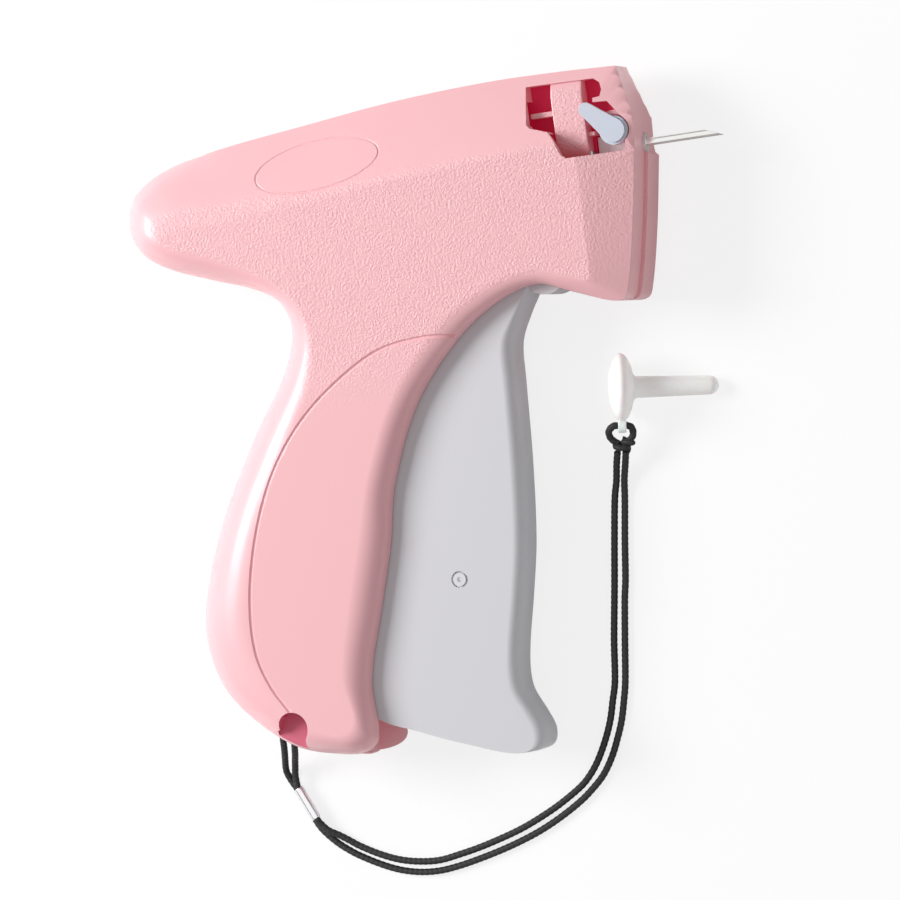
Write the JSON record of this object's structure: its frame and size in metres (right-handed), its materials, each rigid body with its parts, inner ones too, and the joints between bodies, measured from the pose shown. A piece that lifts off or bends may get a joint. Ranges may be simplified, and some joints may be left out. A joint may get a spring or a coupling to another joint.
{
  "type": "garment tag attacher",
  "caption": "Pistol-grip garment tag attacher: squeeze trigger, lever and ram push a rod through a slotted needle; feed window, needle lock and corded needle cap.",
  "frame": {"origin": "centre of the tool's outline on the surface it lies on, under its right side face (cord, ferrule and cap left out)", "axes": "+X along the needle towards its tip, +Y from the handle's heel up to the barrel, +Z from the right side face up to the left side face, away from the table"},
  "size_m": [0.1518, 0.1905, 0.027],
  "materials": {
    "casing_plastic": "satin moulded ABS, light pink, fine spark-eroded texture on the barrel side",
    "guide_plastic": "satin moulded ABS, light pink",
    "trigger_plastic": "satin moulded ABS, light warm grey",
    "lock_plastic": "satin moulded acetal, pale lavender white",
    "ram_nylon": "moulded nylon, natural",
    "wheel_nylon": "moulded nylon, natural",
    "cap_plastic": "injection-moulded polyethylene, milky translucent",
    "cord_braid": "round braided polyester cord, black",
    "ferrule_aluminium": "crimped aluminium tube, bright",
    "needle_steel": "drawn and ground stainless steel tube",
    "needle_base_metal": "die-cast base, dull",
    "blade_steel": "ground spring steel strip",
    "lever_steel": "stamped steel, tumbled",
    "spring_steel": "drawn spring wire and strip",
    "pin_steel": "turned steel pin, polished end",
    "screw_steel": "zinc-plated steel self-tapping screw"
  },
  "bodies": {
    "casing": {"left_shell": "casing_plastic", "right_shell": "casing_plastic", "case_screws": "screw_steel", "lanyard_post": "casing_plastic", "trigger_pivot_pin": "pin_steel", "lever_pivot_pin": "pin_steel", "return_spring": "spring_steel", "spring_seat": "casing_plastic", "feed_wheel_axle": "pin_steel", "pawl_pin": "pin_steel", "detent_leaf": "spring_steel", "feed_guide": "guide_plastic", "cutter_blade": "blade_steel", "needle": "needle_steel", "needle_base": "needle_base_metal", "cord_strand_1": "cord_braid", "cord_strand_2": "cord_braid", "cord_hitch": "cord_braid", "ferrule": "ferrule_aluminium", "needle_cap": "cap_plastic"},
    "trigger": {"trigger": "trigger_plastic", "trigger_link_pin": "pin_steel"},
    "drive_lever": {"drive_lever": "lever_steel", "lever_roller_pin": "pin_steel"},
    "ram": {"ram_carriage": "ram_nylon", "pusher_rod": "pin_steel"},
    "feed_wheel": {"feed_wheel": "wheel_nylon"},
    "feed_pawl": {"feed_pawl": "lever_steel"},
    "needle_lock": {"needle_lock": "lock_plastic"}
  },
  "joints": [
    {"name": "trigger_squeeze", "type": "hinge", "parent": "casing", "child": "trigger", "pos_m": [0.029, 0.03376, 0.0135], "axis": [0, 0, -1], "range_deg": [0, 16], "stiffness_Nm_per_rad": 1, "springref_deg": -11.46},
    {"name": "lever_swing", "type": "hinge", "parent": "casing", "child": "drive_lever", "pos_m": [-0.0225, 0.01446, 0.0135], "axis": [0, 0, -1], "range_deg": [0, 50.4]},
    {"name": "ram_stroke", "type": "slide", "parent": "casing", "child": "ram", "axis": [1, 0, 0], "range_m": [0, 0.0401], "deforming": ["return_spring"]},
    {"name": "pawl_swing", "type": "hinge", "parent": "casing", "child": "feed_pawl", "pos_m": [0.0115, 0.04836, 0.0135], "axis": [0, 0, 1], "range_deg": [0, 12]},
    {"name": "feed_wheel_spin", "type": "hinge", "parent": "casing", "child": "feed_wheel", "pos_m": [0.0265, 0.04996, 0.0135], "axis": [0, 0, 1], "continuous": true},
    {"name": "needle_lock_turn", "type": "hinge", "parent": "casing", "child": "needle_lock", "pos_m": [0.0515, 0.06486, 0.0135], "axis": [0, 0, 1], "range_deg": [0, 50]}
  ],
  "couplings": [
    {"joint": "lever_swing", "follows": "trigger_squeeze", "ratio": 3.148},
    {"joint": "ram_stroke", "follows": "trigger_squeeze", "m_per_rad": 0.14324},
    {"joint": "pawl_swing", "follows": "trigger_squeeze", "ratio": 0.75}
  ]
}
